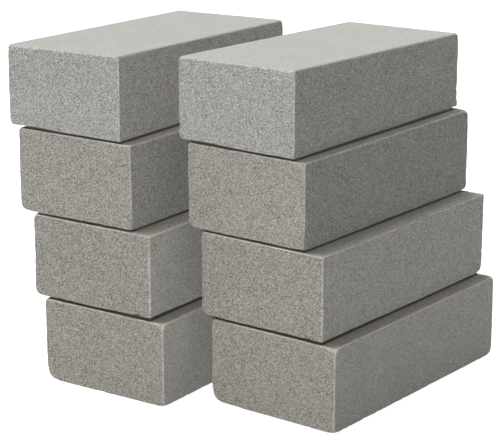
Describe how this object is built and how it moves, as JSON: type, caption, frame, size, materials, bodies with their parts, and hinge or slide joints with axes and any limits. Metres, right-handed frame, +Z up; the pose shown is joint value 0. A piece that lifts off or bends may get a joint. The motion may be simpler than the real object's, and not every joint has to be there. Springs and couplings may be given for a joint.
{
  "type": "floral foam bricks",
  "caption": "Two stacks of loose grey dry floral foam bricks, plain blocks of rigid fine-celled foam that flower and twig stems are pushed into.",
  "frame": {"origin": "middle of the group's footprint, on the surface the bricks stand on", "axes": "+Z up; the bricks' long sides run along Y, their end faces look to the front along -Y, and the two stacks stand side by side along X"},
  "size_m": [0.303, 0.2746, 0.2728],
  "materials": {
    "dry_foam": "dull fine-celled rigid foam, warm light grey"
  },
  "bodies": {
    "left_bottom_brick": {"left_stack_bottom_brick": "dry_foam"},
    "left_second_brick": {"left_stack_second_brick": "dry_foam"},
    "left_third_brick": {"left_stack_third_brick": "dry_foam"},
    "left_top_brick": {"left_stack_top_brick": "dry_foam"},
    "right_bottom_brick": {"right_stack_bottom_brick": "dry_foam"},
    "right_second_brick": {"right_stack_second_brick": "dry_foam"},
    "right_third_brick": {"right_stack_third_brick": "dry_foam"},
    "right_top_brick": {"right_stack_top_brick": "dry_foam"}
  },
  "joints": [
    {"name": "left_second_brick_lift", "type": "slide", "parent": "left_bottom_brick", "child": "left_second_brick", "axis": [0, 0, 1], "range_m": [0, 0.06]},
    {"name": "left_third_brick_lift", "type": "slide", "parent": "left_second_brick", "child": "left_third_brick", "axis": [0, 0, 1], "range_m": [0, 0.06]},
    {"name": "left_top_brick_lift", "type": "slide", "parent": "left_third_brick", "child": "left_top_brick", "axis": [0, 0, 1], "range_m": [0, 0.06]},
    {"name": "right_second_brick_lift", "type": "slide", "parent": "right_bottom_brick", "child": "right_second_brick", "axis": [0, 0, 1], "range_m": [0, 0.06]},
    {"name": "right_third_brick_lift", "type": "slide", "parent": "right_second_brick", "child": "right_third_brick", "axis": [0, 0, 1], "range_m": [0, 0.06]},
    {"name": "right_top_brick_lift", "type": "slide", "parent": "right_third_brick", "child": "right_top_brick", "axis": [0, 0, 1], "range_m": [0, 0.06]},
    {"name": "right_stack_slide", "type": "slide", "parent": "left_bottom_brick", "child": "right_bottom_brick", "axis": [1, 0, 0], "range_m": [0, 0.2]}
  ]
}
